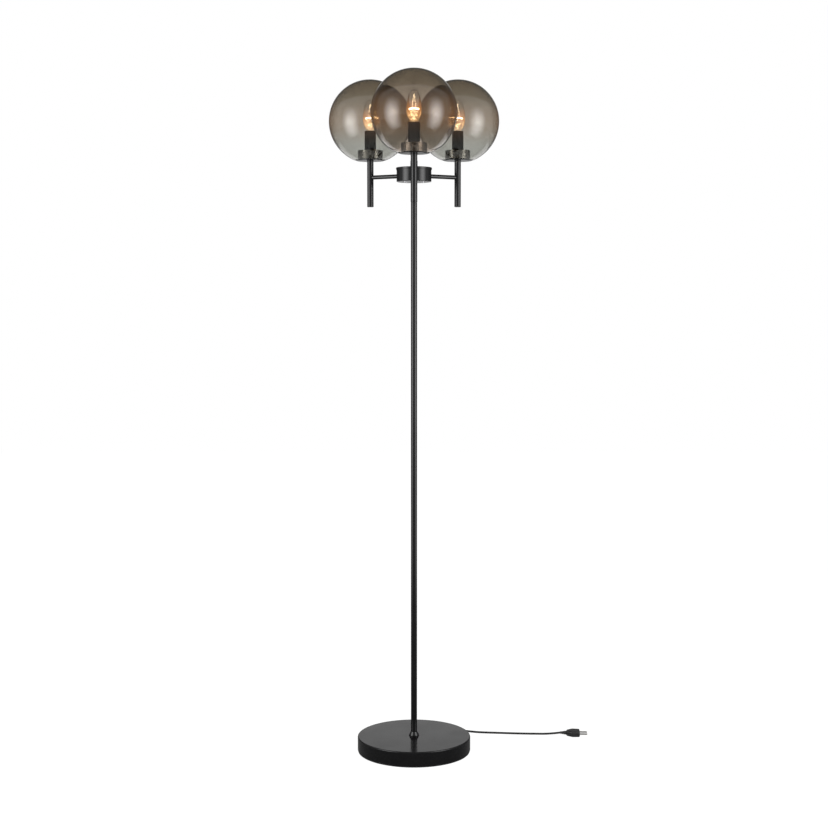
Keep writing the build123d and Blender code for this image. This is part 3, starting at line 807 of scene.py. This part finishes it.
def smooth_through(points, steps=8):
    """A smooth curve through points, and its normals.

    Each span is the cubic that passes through its two ends, with a slope at each end of half the
    step between that end's neighbours. The normal is the slope turned a quarter clockwise."""
    ends = np.array([points[0], *points, points[-1]], float)
    a, b, c, d = ends[:-3, None], ends[1:-2, None], ends[2:-1, None], ends[3:, None]
    t = np.linspace(0, 1, steps, endpoint=False)[None, :, None]
    bend = a - 2.5 * b + 2 * c - d / 2
    twist = 1.5 * (b - c) + (d - a) / 2
    curve = b + (c - a) * t / 2 + bend * t**2 + twist * t**3
    slope = (c - a) / 2 + 2 * bend * t + 3 * twist * t**2
    line = np.concatenate([curve.reshape(-1, 2), ends[-1:]])
    run = np.concatenate([slope.reshape(-1, 2), [(-1.0, 0.0)]])
    return line, unit(np.stack([run[:, 1], -run[:, 0]], axis=1))


bulb_points = [(share * BULB_RADIUS, BULB_NECK + rise * MM) for share, rise in BULB_SHAPE]
outer_line, outer_normals = smooth_through(bulb_points)
inner_line = outer_line - outer_normals * BULB_WALL
inner_line[-1, 0] = 0
envelope = (
    np.concatenate([inner_line[::-1], outer_line]),
    np.concatenate([-outer_normals[::-1], outer_normals]),
)
for name in ARMS:
    glass = moved(carry(envelope, closed=False), UPRIGHT[name])
    piece(f"candle_glass_{name}", [glass], f"bulb_glass_{name}")

# %% The mount, the wires and the coil
FILAMENT_HEIGHT = 1540 * MM
FILAMENT_SPAN = 11 * MM
FILAMENT_RISE = 2 * MM
COIL_RADIUS = 1.5 * MM
COIL_TURNS = 18
COIL_WIRE = 0.42 * MM
WIRE_RADIUS = 0.28 * MM
HAIRPIN_RISE = 34 * MM
HAIRPIN_WIRE = 0.10 * MM
MOUNT_FLARE = 4.8 * MM
MOUNT_STEM = 2.2 * MM
MOUNT_RISE = 22 * MM
FORWARD = np.array((0.0, 1.0, 0.0))


def upright_line(across, up):
    """A line that stays in the plane of x and z."""
    return np.stack([across, 0 * across, up], axis=1)


def along_line(line, side, radius, steps=10):
    """A wire along a line: a circle in the plane of two directions square to the line.

    The first direction is the given side, less its part along the line. The second is square to
    both. A point is the line's point + radius * (cos * first + sin * second)."""
    run = unit(np.gradient(line, axis=0))
    first = unit(side - (side * run).sum(1, keepdims=True) * run)
    second = np.cross(run, first)
    turn = np.linspace(0, 2 * math.pi, steps, endpoint=False)[None, :, None]
    outward = np.cos(turn) * first[:, None] + np.sin(turn) * second[:, None]
    around = line[:, None] + radius * outward
    ends = np.repeat(line[[0, -1], None], steps, axis=1)
    caps = np.repeat(run[[0, -1], None], steps, axis=1) * np.array([-1, 1])[:, None, None]
    points = np.concatenate([ends[:1], around, ends[1:]])
    normals = np.concatenate([caps[:1], outward, caps[1:]])
    return points[:, ::-1], normals[:, ::-1], False


mount = turned([
    (0, BULB_NECK, 0),
    (MOUNT_FLARE, BULB_NECK, BROKEN),
    (MOUNT_FLARE, BULB_NECK + 2 * MM, 0.8 * MM),
    (MOUNT_STEM, BULB_NECK + 8 * MM, 3 * MM),
    (MOUNT_STEM, BULB_NECK + MOUNT_RISE, 1 * MM),
    (0, BULB_NECK + MOUNT_RISE, 0),
], closed=False)

wire_points = [
    (1.2 * MM, BULB_NECK + 14 * MM), (1.5 * MM, BULB_NECK + MOUNT_RISE),
    (3.2 * MM, BULB_NECK + 29 * MM), (5.4 * MM, BULB_NECK + 35 * MM),
    (FILAMENT_SPAN, FILAMENT_HEIGHT),
]
across, up = smooth_through(wire_points)[0].T
wires = [along_line(upright_line(sign * across, up), FORWARD, WIRE_RADIUS) for sign in (-1, 1)]

share = np.linspace(-1, 1, 12 * COIL_TURNS)
arch = upright_line(share * FILAMENT_SPAN, FILAMENT_HEIGHT + FILAMENT_RISE * (1 - share**2))
arch_run = unit(np.gradient(arch, axis=0))
arch_up = upright_line(-arch_run[:, 2], arch_run[:, 0])
phase = (math.pi * COIL_TURNS * share)[:, None]
from_arch = np.cos(phase) * arch_up + np.sin(phase) * FORWARD
coil = along_line(arch + COIL_RADIUS * from_arch, from_arch, COIL_WIRE, steps=6)

peak = FILAMENT_HEIGHT + HAIRPIN_RISE
half_pin, _ = smooth_through([
    (-4.5 * MM, FILAMENT_HEIGHT), (-2.6 * MM, FILAMENT_HEIGHT + 0.5 * HAIRPIN_RISE),
    (-0.8 * MM, peak - 3 * MM), (0.0, peak),
])
pin_line = upright_line(*np.concatenate([half_pin, half_pin[-2::-1] * (-1, 1)]).T)
hairpin = along_line(pin_line, FORWARD, HAIRPIN_WIRE, steps=8)

for name, spot in UPRIGHT.items():
    piece(f"candle_mount_{name}", [moved(mount, spot)], "bulb_filaments", slot="clear_glass")
    piece(f"candle_wires_{name}", [moved(wire, spot) for wire in wires], "bulb_filaments",
          slot="nickel")
    piece(f"candle_coil_{name}", [moved(coil, spot), moved(hairpin, spot)], "bulb_filaments")

# %% [markdown]
# ## Globes
#
# A globe is a blown sphere with its bottom cut off level and the cut fire-polished. It needs a
# real wall, because the doubled reflections at its edge make it read as glass. The outer and
# inner skins are arcs about one centre, and the lip between them is a rounded outline.

# %% The globes
GLOBE_WALL = 2.5 * MM
LIP_ROUND = 0.9 * MM
SKIN_STEPS = 90
GLOBE_STEPS = 160


def skin(radius, last_angle):
    """An arc from the top: a point at angle a is (radius sin a, radius cos a)."""
    angle = np.linspace(0, last_angle, SKIN_STEPS)
    way = np.stack([np.sin(angle), np.cos(angle)], axis=1)
    return radius * way, way


for name in ARMS:
    low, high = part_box(f"globe_{name}")
    radius = (high.x - low.x) / 2
    centre = high.z - radius
    cut = low.z - centre
    outer_edge = math.acos(cut / radius)
    inner_edge = math.acos(cut / (radius - GLOBE_WALL))
    back_off = 1.5 * LIP_ROUND / radius
    outer, outer_way = skin(radius, outer_edge - back_off)
    inner, inner_way = skin(radius - GLOBE_WALL, inner_edge - back_off)
    lip_corners = [
        inner[-1],
        ((radius - GLOBE_WALL) * math.sin(inner_edge), cut),
        (radius * math.sin(outer_edge), cut),
        outer[-1],
    ]
    lip, lip_way = rounded(lip_corners, LIP_ROUND, closed=False)
    outline = (
        np.concatenate([inner, lip[1:-1], outer[::-1]]),
        np.concatenate([-inner_way, lip_way[1:-1], outer_way[::-1]]),
    )
    shell = carry(outline, circle(GLOBE_STEPS), closed=False)
    shell = moved(shell, UPRIGHT[name] + (0, 0, centre))
    piece(f"glass_globe_{name}", [shell], f"globe_{name}", body=f"globe_{name}")

# %% [markdown]
# ## Strain relief, foot switch and plug
#
# These are moulded. The strain relief and the plug's tail are ringed so that they bend evenly, and
# one function draws the rings' grooves. The switch and the plug are slabs: a slab is made as a
# turned piece is, but its outline is carried round the slab's edge in place of a point.

# %% Ringed tapers and slabs


def ribs(first, last, low, pitch, count, depth):
    """Corners of rings along a taper: each has a groove of that depth, then its full radius."""
    corners = []
    for ring in range(count):
        radius = first + (last - first) * ring / (count - 1)
        start = low + pitch * ring
        corners += [
            (radius, start), (radius - depth, start + 0.15 * pitch),
            (radius - depth, start + 0.45 * pitch), (radius, start + 0.60 * pitch),
        ]
    return corners

def slab_ring(corners, steps=160):
    """The edge of a slab seen from above, as evenly spaced points and their normals."""
    points, normals = (np.concatenate([part, part[:1]]) for part in outline_of(corners, steps=12))
    run = np.concatenate([[0], np.cumsum(np.linalg.norm(np.diff(points, axis=0), axis=1))])
    at = np.linspace(0, run[-1], steps, endpoint=False)
    points, normals = (
        np.stack([np.interp(at, run, column) for column in part.T], axis=1)
        for part in (points, normals))
    return points, unit(normals)


# %% Strain relief
EXIT_ANGLE = math.radians(135)
EXIT_HEIGHT = 10.5 * MM
COLLAR_DEPTH = 5 * MM
COLLAR_RADIUS = 5.2 * MM
GROOVE_RADIUS = 4.2 * MM
FLANGE_RADIUS = 6.0 * MM
RELIEF_LENGTH = 22 * MM
exit_way = np.array([math.cos(EXIT_ANGLE), math.sin(EXIT_ANGLE), 0])
exit_side = np.cross((0, 0, 1), exit_way)
relief_corners = [
    (0, -COLLAR_DEPTH), (COLLAR_RADIUS, -COLLAR_DEPTH), (COLLAR_RADIUS, -1.8 * MM),
    (GROOVE_RADIUS, -1.8 * MM), (GROOVE_RADIUS, 0), (FLANGE_RADIUS, 0),
    (FLANGE_RADIUS, 2.0 * MM), (4.6 * MM, 2.6 * MM),
    *ribs(4.6 * MM, 3.6 * MM, 4 * MM, 4 * MM, 4, 0.9 * MM),
    (3.3 * MM, RELIEF_LENGTH), (0, RELIEF_LENGTH),
]
relief = carry(rounded(relief_corners, CRISP, closed=False), closed=False)
at_wall = foot_radius * exit_way + np.array([0, 0, EXIT_HEIGHT])
piece("strain_relief", [moved(relief, at_wall, [exit_side, (0, 0, 1), exit_way])], "cord_grommet")

# %% Foot switch
SWITCH_WALL = 1.8 * MM
SWITCH_NECK = 7 * MM
SWITCH_SHOULDER = 15 * MM
NECK_ROUND = 4 * MM
SIDE_ROUND = 14 * MM
LID_ROUND = 3 * MM
LID_REACH = 3.4 * MM
COLLAR_RISE = 0.8 * MM
COLLAR_WALL = 2.3 * MM
BUTTON_HOLE = 9.5 * MM
BUTTON_GAP = 0.3 * MM
BUTTON_RADIUS = BUTTON_HOLE - BUTTON_GAP
FLANGE = 1.4 * MM
switch_place, (half_length, half_width, _) = span("switch_housing")
switch_place = switch_place * (1, 1, 0)
tray_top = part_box("switch_housing")[1].z
lid_low, lid_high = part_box("switch_cover")
button_low, button_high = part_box("switch_button")
end = half_length - SWITCH_SHOULDER
one_half = [
    (half_length, -SWITCH_NECK, NECK_ROUND), (half_length, SWITCH_NECK, NECK_ROUND),
    (end, half_width, SIDE_ROUND), (-end, half_width, SIDE_ROUND),
]
switch_edge = slab_ring([*one_half, *((-x, -y, rounding) for x, y, rounding in one_half)])
tray = turned([
    (-SWITCH_NECK, 0, 0), (0, 0, 1.2 * MM), (0, tray_top, CRISP), (-SWITCH_WALL, tray_top, HIDDEN),
    (-SWITCH_WALL, SWITCH_WALL, SOFT), (-SWITCH_NECK, SWITCH_WALL, 0),
], switch_edge, closed=False)
piece("switch_tray", [moved(tray, switch_place)], "switch_housing")

top = lid_high.z - COLLAR_RISE
ceiling = top - SWITCH_WALL
collar = BUTTON_HOLE + COLLAR_WALL
edge_part = carry(outline_of([
    (-2 * SWITCH_WALL, ceiling, 0), (-SWITCH_WALL, ceiling, SOFT),
    (-SWITCH_WALL, lid_low.z, HIDDEN), (0, lid_low.z, CRISP), (0, top, LID_ROUND),
    (-LID_REACH, top, 0),
], closed=False), switch_edge)
collar_part = carry(outline_of([
    (collar + 1 * MM, top, 0), (collar, top, CRISP), (collar, lid_high.z, HAIR_EDGE),
    (BUTTON_HOLE, lid_high.z, HAIR_EDGE), (BUTTON_HOLE, ceiling, 0),
], closed=False), (np.zeros_like(switch_edge[0]), unit(switch_edge[0])))
lid = (*(np.concatenate(parts) for parts in zip(edge_part[:2], collar_part[:2])), True)
piece("switch_lid", [moved(lid, switch_place)], "switch_cover")

flange_top = ceiling - BUTTON_GAP
press = turned([
    (0, button_low.z, 0), (BUTTON_RADIUS + FLANGE, button_low.z, CRISP),
    (BUTTON_RADIUS + FLANGE, flange_top, CRISP), (BUTTON_RADIUS, flange_top, CRISP),
    (BUTTON_RADIUS, button_high.z, 1.8 * MM), (0, button_high.z, 0),
], closed=False)
piece("switch_press", [moved(press, switch_place)], "switch_button", body="foot_button")

# %% Plug
PLUG_START = (372.0 * MM, 124.5 * MM)
PLUG_ANGLE = math.radians(-3.9)
PLUG_TAIL = 15 * MM
PLUG_LENGTH = 34 * MM
PLUG_SHOULDER = 14 * MM
PLUG_NECK = 6.5 * MM
PLUG_HALF_WIDTH = 17.65 * MM
PLUG_TAPER = 1.6 * MM
PLUG_ROUND = 3.6 * MM
PLUG_FLAT = 5 * MM
TAIL_RADIUS = 5.4 * MM
TAIL_OVERLAP = 4 * MM
PIN_RADIUS = 2 * MM
PIN_SPACING = 18.6 * MM
PIN_LENGTH = 19 * MM
PIN_BURIED = 8 * MM
plug_way = np.array([math.cos(PLUG_ANGLE), math.sin(PLUG_ANGLE), 0])
plug_left = np.array([-plug_way[1], plug_way[0], 0])
half_height = span("plug_body")[1][2]
plug_place = np.array([*PLUG_START, half_height])

half_plug = PLUG_LENGTH / 2
one_side = [
    (-half_plug, -PLUG_NECK, 5 * MM), (PLUG_SHOULDER - half_plug, -PLUG_HALF_WIDTH, 5 * MM),
    (half_plug, PLUG_TAPER - PLUG_HALF_WIDTH, 4 * MM),
]
plug_edge = slab_ring([*one_side, *((x, -y, rounding) for x, y, rounding in one_side[::-1])])
plug_slab = turned([
    (-PLUG_FLAT, -half_height, 0), (0, -half_height, PLUG_ROUND), (0, half_height, PLUG_ROUND),
    (-PLUG_FLAT, half_height, 0),
], plug_edge, closed=False, steps=8)
tail_corners = [
    (0, 0), (3.4 * MM, 0), *ribs(3.5 * MM, 4.85 * MM, 1.6 * MM, 3.2 * MM, 4, 0.7 * MM),
    (TAIL_RADIUS, PLUG_TAIL), (TAIL_RADIUS, PLUG_TAIL + TAIL_OVERLAP),
    (0, PLUG_TAIL + TAIL_OVERLAP),
]
tail = carry(rounded(tail_corners, CRISP, closed=False), closed=False)
along_plug = [plug_left, (0, 0, 1), plug_way]
slab_middle = plug_place + (PLUG_TAIL + half_plug) * plug_way
piece("plug_shell", [
    moved(plug_slab, slab_middle, [plug_way, plug_left, (0, 0, 1)]),
    moved(tail, plug_place, along_plug),
], "plug_body")

pin_start = PLUG_TAIL + PLUG_LENGTH - PIN_BURIED
pin_end = PIN_BURIED + PIN_LENGTH
pin = turned([(0, 0, 0), (PIN_RADIUS, 0, CRISP), (PIN_RADIUS, pin_end, 1.4 * MM), (0, pin_end, 0)],
             circle(32), closed=False)
pins = [
    moved(pin, plug_place + pin_start * plug_way + side * PIN_SPACING / 2 * plug_left, along_plug)
    for side in (-1, 1)
]
piece("plug_prongs", pins, "plug_pins")

# %% The tie round the coil
TIE_WIDTH = 10 * MM
STRAP = 0.5 * MM
STRAP_BEND = 2.4 * MM
tie_middle, (_, half_y, half_z) = span("cord_tie")
strap_ring = slab_ring([
    (side * (half_y - STRAP), over * (half_z - STRAP), STRAP_BEND)
    for side, over in ((-1, -1), (1, -1), (1, 1), (-1, 1))
])
band = turned([
    (0, -TIE_WIDTH / 2, CRISP), (STRAP, -TIE_WIDTH / 2, CRISP), (STRAP, TIE_WIDTH / 2, CRISP),
    (0, TIE_WIDTH / 2, CRISP),
], strap_ring)
piece("coil_tie", [moved(band, tie_middle, [(0, 1, 0), (0, 0, 1), (1, 0, 0)])], "cord_tie")

# %% [markdown]
# ## The mains cord
#
# The cord leaves the foot at the back, runs to a foot switch, is wound into a coil behind the
# foot, and comes out to the right, where the photograph shows it. It bends evenly, so it is one
# smooth curve through a few listed points and the turns of the coil.

# %% Cord routes
CORD_RADIUS = 2.5 * MM
LEAD_ROUTE = [
    (-113.14, 113.14, 10.5), (-129.40, 129.40, 8.0), (-128.6, 153.4, 5.0), (-111.6, 168.4, 3.2),
    (-88.0, 168.0, 4.6),
]
FEED_ROUTE = [(-26.0, 168.0, 4.6), (-5.0, 163.6, 3.0)]
RUN_ROUTE = [
    (62.0, 152.0, 5.2), (90.0, 160.5, 2.55), (117.0, 160.0, 2.55), (141.0, 149.6, 2.55),
    (168.0, 141.0, 2.55), (214.0, 136.6, 2.55), (262.0, 131.2, 2.55), (306.0, 128.8, 2.55),
    (344.0, 126.0, 3.15), (372.0, 124.5, 6.9),
]
TURN_STEPS = 16
TURNS_PER_LAYER = 4
COIL_INTO = math.radians(-124)
COIL_OUT_OF = math.radians(-79)

coil_middle, coil_half = span("cord_coil")
coil_outside = coil_half[0] - CORD_RADIUS
coil_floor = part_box("cord_coil")[0].z


def coil_route():
    """Points of the coil: the radius is the outermost less a diameter for each turn in from the
    outside, and the height is the layer's."""
    turned_by = 2 * TURNS_PER_LAYER * 2 * math.pi + COIL_OUT_OF - COIL_INTO
    steps = round(turned_by / (2 * math.pi) * TURN_STEPS)
    share = np.linspace(0, 1, steps + 1)
    angle = COIL_INTO + turned_by * share
    from_outside = (1 - np.abs(1 - 2 * share)) * (TURNS_PER_LAYER - 1)
    bulge = 1 / math.cos(math.pi / TURN_STEPS)
    radius = (coil_outside - 2 * CORD_RADIUS * from_outside) * bulge
    layer = np.clip((share - 0.5) * 2 * TURNS_PER_LAYER * 3 + 0.5, 0, 1)
    height = coil_floor + CORD_RADIUS * (1 + 2 * layer)
    x, y = coil_middle[0] + radius * np.cos(angle), coil_middle[1] + radius * np.sin(angle)
    return np.stack([x, y, height], axis=1)


def cord_curve(name, route, nodes):
    """A cord as one open spline of order 3, whose control points are the route's points."""
    curve = bpy.data.curves.new(name, "CURVE")
    curve.dimensions = "3D"
    curve.bevel_depth = CORD_RADIUS
    curve.bevel_resolution = 6
    curve.resolution_u = 8
    curve.use_fill_caps = True
    spline = curve.splines.new("NURBS")
    spline.points.add(len(route) - 1)
    spline.points.foreach_set("co", np.column_stack([route, np.ones(len(route))]).ravel())
    spline.order_u = 3
    spline.use_endpoint_u = True
    made = added(name, curve)
    curve.materials.append(FINISH["black_rubber"])
    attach(made, "stand")
    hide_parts(*nodes)
    print(f"{name}: {len(route)} points")
    return made


lead_route = np.array(LEAD_ROUTE) * MM
main_route = np.concatenate([np.array(FEED_ROUTE) * MM, coil_route(), np.array(RUN_ROUTE) * MM])
lead = cord_curve("lamp_lead", lead_route, ["cord_lead"])
main = cord_curve("mains_lead", main_route, ["cord_feed", "cord_coil", "cord_run"])

# %% [markdown]
# ## Floor, world and lamps
#
# The background is the colour white itself, not strong light: the world is white to the camera,
# and the floor is too, with a little room for the foot's shadow. Two tall soft lights, one at
# each side, light the lamp and draw the long highlights on its tubes.

# %% The floor
FLOOR_SIZE = 14.0
FLOOR_GLOW = 1.13
FLOOR_SHARE = 0.85
FLOOR_MATT = grey(0.8)
MIRRORED_IN_FRONT = grey(0.14)
MIRRORED_BEHIND = grey(0.95)
BEHIND_STARTS = (1.4, 2.2)
ASIDE_SQUARED = (5.0, 10.0)


def floor_finish():
    """White to the camera, with a small share that takes the lamp's shadow. Gloss on the lamp
    sees dark floor in front and white floor behind, where the globes' bowls mirror it."""
    made, sheet = sheet_of("floor")
    direct, glass, gloss = sheet.node("ShaderNodeLightPath").outputs(
        "Is Camera Ray", "Is Transmission Ray", "Is Glossy Ray")
    seen = direct.math("MAXIMUM", glass)
    aside = axis_part(sheet, "X")
    behind = axis_part(sheet, "Y").between(*BEHIND_STARTS)
    behind = behind * (1 - (aside * aside).between(*ASIDE_SQUARED))
    shade = seen.colour(behind.colour(MIRRORED_IN_FRONT, MIRRORED_BEHIND), grey(1))
    matt = sheet.node("ShaderNodeBsdfDiffuse", inputs={"Color": FLOOR_MATT})
    glow = sheet.node("ShaderNodeEmission", inputs={"Color": shade, "Strength": FLOOR_GLOW})
    share = (seen * FLOOR_SHARE).math("MAXIMUM", gloss)
    surface = sheet.node("ShaderNodeMixShader", inputs={0: share, 1: matt, 2: glow})
    return finished(made, sheet, surface)


floor_mesh = bpy.data.meshes.new("floor")
floor_corners = np.array([(-1, -1, 0), (1, -1, 0), (1, 1, 0), (-1, 1, 0)]) * FLOOR_SIZE / 2
floor_mesh.from_pydata(floor_corners.tolist(), [], [(0, 1, 2, 3)])
floor_mesh.materials.append(floor_finish())
floor = added("floor", floor_mesh)

# %% The world
PLAIN_LEVEL = 0.40
DARK_LEVEL = 0.10
FRONT_LEVEL = 0.60
FRONT_SLANT = 0.57
FRONT_EDGE = (0.66, 0.80)
FRONT_FADE = (0.1, 0.6)
BEHIND_LAMP = (0.90, 0.985)
HIGH_BAND = (0.28, 0.13)
HIGH_BAND_LEVEL = 1.2
LOW_BAND = (-0.077, 0.05)
THROUGH_GLASS = 0.12
LIGHT_THROUGH_GLASS = 8.0
LIGHT_BACK = (-0.53, 0.36)
LIGHT_UP = (-0.15, 0.60)


def white_world():
    """White where it is seen directly or through glass, and a plain level as a light. Gloss sees
    a dark studio, grey in front up to a slanting edge overhead, with two white bands straight
    behind the lamp. What a cup mirrors through a globe also has the two soft lights in it."""
    world = bpy.data.worlds.new("studio")
    sheet = sheet_in(world)
    direct, glass, gloss, glossy_depth, matt_depth = sheet.node("ShaderNodeLightPath").outputs(
        "Is Camera Ray", "Is Transmission Ray", "Is Glossy Ray", "Glossy Depth", "Diffuse Depth")
    bounced = (glossy_depth + matt_depth).between(0.0, 1.0)
    direction = sheet.node("ShaderNodeTexCoord", output="Generated")
    back, up = sheet.node("ShaderNodeSeparateXYZ", inputs={"Vector": direction}).outputs("Y", "Z")
    lights = LIGHT_THROUGH_GLASS * back.near(*LIGHT_BACK) * up.near(*LIGHT_UP)
    bands = HIGH_BAND_LEVEL * up.near(*HIGH_BAND) + up.near(*LOW_BAND)
    backdrop = back.between(*BEHIND_LAMP) * bands
    front = 1 - (up + FRONT_SLANT * back).between(*FRONT_EDGE)
    front = front * (1 - back.between(*FRONT_FADE))
    mirrored = DARK_LEVEL + (1 - DARK_LEVEL) * backdrop + (FRONT_LEVEL - DARK_LEVEL) * front
    seen = direct.math("MAXIMUM", glass * (1 - bounced))
    shiny = gloss.math("MAXIMUM", glass * bounced)
    mirrored = mirrored + glass * bounced * (THROUGH_GLASS + lights)
    level = seen + (1 - seen) * (PLAIN_LEVEL + shiny * (mirrored - PLAIN_LEVEL))
    shade = sheet.node("ShaderNodeBackground", inputs={"Color": grey(1), "Strength": level})
    sheet.node("ShaderNodeOutputWorld", inputs={"Surface": shade})
    return world


SCENE.world = white_world()

# %% The soft lights
LIGHT_DISTANCE = 1.8
LIGHT_ANGLE = math.radians(58)
LIGHT_SIZE = (2.0, 3.3)
LIGHT_HEIGHT = 1.18
LIGHT_RADIANCE = 7.0
LIGHT_FALLOFF = 2.0


def soft_light(name, side):
    """A tall light at one side that fades towards its edges: its strength is the squared product
    of a sine across and one along. Neither the camera nor the glass shows the light itself."""
    light = bpy.data.lights.new(name, "AREA")
    light.shape = "RECTANGLE"
    light.size, light.size_y = LIGHT_SIZE
    light.energy = LIGHT_RADIANCE * math.pi * LIGHT_SIZE[0] * LIGHT_SIZE[1]
    sheet = sheet_in(light)
    spot = sheet.node("ShaderNodeNewGeometry", output="Parametric")
    across, along = sheet.node("ShaderNodeSeparateXYZ", inputs={"Vector": spot}).outputs("X", "Y")
    fade = ((across * math.pi).math("SINE") * (along * math.pi).math("SINE")) ** LIGHT_FALLOFF
    glow = sheet.node("ShaderNodeEmission", inputs={"Strength": fade})
    sheet.node("ShaderNodeOutputLight", inputs={"Surface": glow})
    made = added(name, light)
    sideways, forward = side * math.sin(LIGHT_ANGLE), -math.cos(LIGHT_ANGLE)
    made.location = (LIGHT_DISTANCE * sideways, LIGHT_DISTANCE * forward, LIGHT_HEIGHT)
    made.rotation_euler = (math.pi / 2, 0, side * LIGHT_ANGLE)
    made.visible_camera = False
    made.visible_transmission = False


for name, side in (("soft_light_right", 1), ("soft_light_left", -1)):
    soft_light(name, side)

SCENE.view_settings.view_transform = "Standard"

# %% [markdown]
# ## The nodes that stay
#
# Fastenings and inner pieces stay as they are, with the finish of their slot in the record.

# %% Finishes for the nodes
for node_name, node in frame["nodes"].items():
    node.data.materials.clear()
    node.data.materials.append(FINISH[SLOT[node_name]])
kept = [node_name for node_name, node in frame["nodes"].items() if not node.hide_render]
print("kept:", ", ".join(kept))
